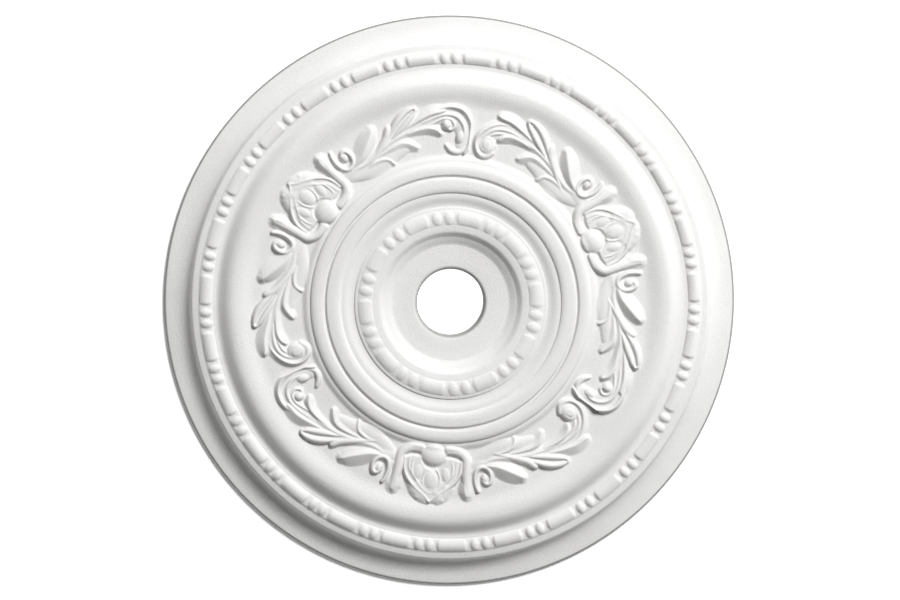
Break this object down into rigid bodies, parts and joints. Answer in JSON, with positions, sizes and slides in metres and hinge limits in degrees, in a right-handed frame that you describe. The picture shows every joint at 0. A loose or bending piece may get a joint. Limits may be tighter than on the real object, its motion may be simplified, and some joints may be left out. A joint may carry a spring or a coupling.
{
  "type": "ceiling rose",
  "caption": "Round cast plaster ceiling rose with a flat back, a centre hole, turned mouldings, bead rings and a band of roses and acanthus scrolls.",
  "frame": {"origin": "centre of the flat back, on the plane that is stuck and screwed to the ceiling; the origin lies on the axis of the centre hole", "axes": "+Z points out of the ornamented face, away from the ceiling, so the rose is turned over to be fixed and its -Z side meets the ceiling; +X points from the centre to the rose of the band that lines up with a pair of beads in both bead rings"},
  "size_m": [0.5999, 0.6, 0.04],
  "materials": {
    "cast_plaster": "matt white cast plaster, fine grain, unpainted"
  },
  "bodies": {
    "root": {"ceiling_rose": "cast_plaster"}
  },
  "joints": []
}
